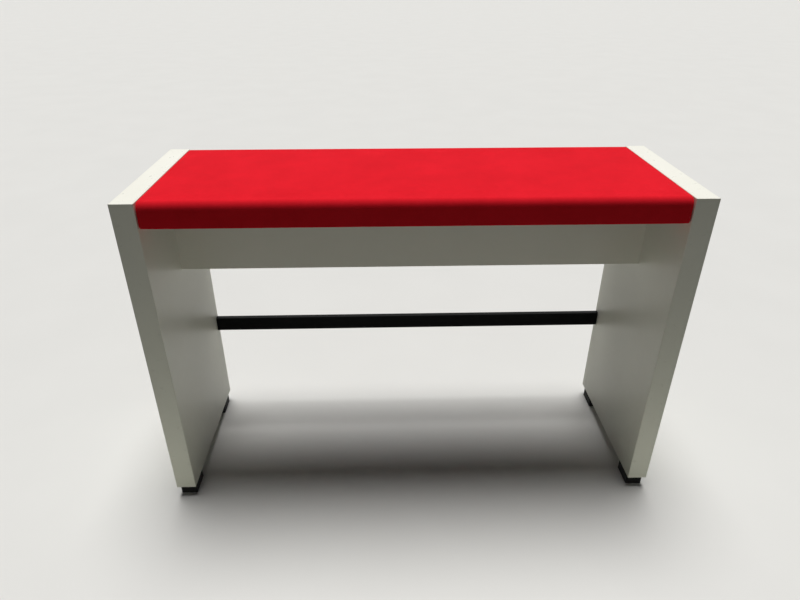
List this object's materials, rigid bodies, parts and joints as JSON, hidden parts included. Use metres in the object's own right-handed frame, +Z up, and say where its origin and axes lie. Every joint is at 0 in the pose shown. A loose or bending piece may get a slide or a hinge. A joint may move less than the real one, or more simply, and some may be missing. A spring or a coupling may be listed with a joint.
{
  "type": "waiting room bench",
  "caption": "Bar-height waiting room bench with thick white end panels on black block feet, a red upholstered seat, a white centre beam and a black footrest bar.",
  "frame": {"origin": "on the floor under the middle of the bench", "axes": "+X along the bench's width, +Y from the sitter's front to the rear, +Z up"},
  "size_m": [1.2, 0.4, 0.7879],
  "materials": {
    "white_board": "satin white melamine on chipboard",
    "white_edging": "satin white ABS edging",
    "chipboard": "raw chipboard",
    "plywood": "raw plywood",
    "beech": "raw beech",
    "foam": "open-cell upholstery foam",
    "red_cloth": "red felted wool upholstery cloth",
    "liner_cloth": "black non-woven cloth",
    "black_coated_steel": "satin black powder coat",
    "black_plastic": "matt black moulded plastic",
    "zinc_steel": "bright zinc plate",
    "zinc_cast": "die-cast zinc",
    "white_plastic": "white moulded plastic"
  },
  "bodies": {
    "root": {"beam_cam_bolts": "zinc_steel", "beam_cam_caps": "white_plastic", "beam_cam_discs": "zinc_cast", "beam_dowels": "beech", "beam_edge_band": "white_edging", "bracket_seat_screws": "zinc_steel", "bracket_wall_screws": "zinc_steel", "centre_beam": "white_board", "foot_screws": "zinc_steel", "footrest_tube": "black_coated_steel", "front_left_foot": "black_plastic", "front_left_seat_bracket": "zinc_steel", "front_right_foot": "black_plastic", "front_right_seat_bracket": "zinc_steel", "left_bottom_edge_band": "white_edging", "left_core_board": "chipboard", "left_front_edge_band": "white_edging", "left_inner_board": "white_board", "left_outer_board": "white_board", "left_rear_edge_band": "white_edging", "left_top_edge_band": "white_edging", "rear_left_foot": "black_plastic", "rear_left_seat_bracket": "zinc_steel", "rear_right_foot": "black_plastic", "rear_right_seat_bracket": "zinc_steel", "right_bottom_edge_band": "white_edging", "right_core_board": "chipboard", "right_front_edge_band": "white_edging", "right_inner_board": "white_board", "right_outer_board": "white_board", "right_rear_edge_band": "white_edging", "right_top_edge_band": "white_edging", "seat_board": "plywood", "seat_cover": "red_cloth", "seat_foam": "foam", "seat_liner": "liner_cloth"}
  },
  "joints": []
}
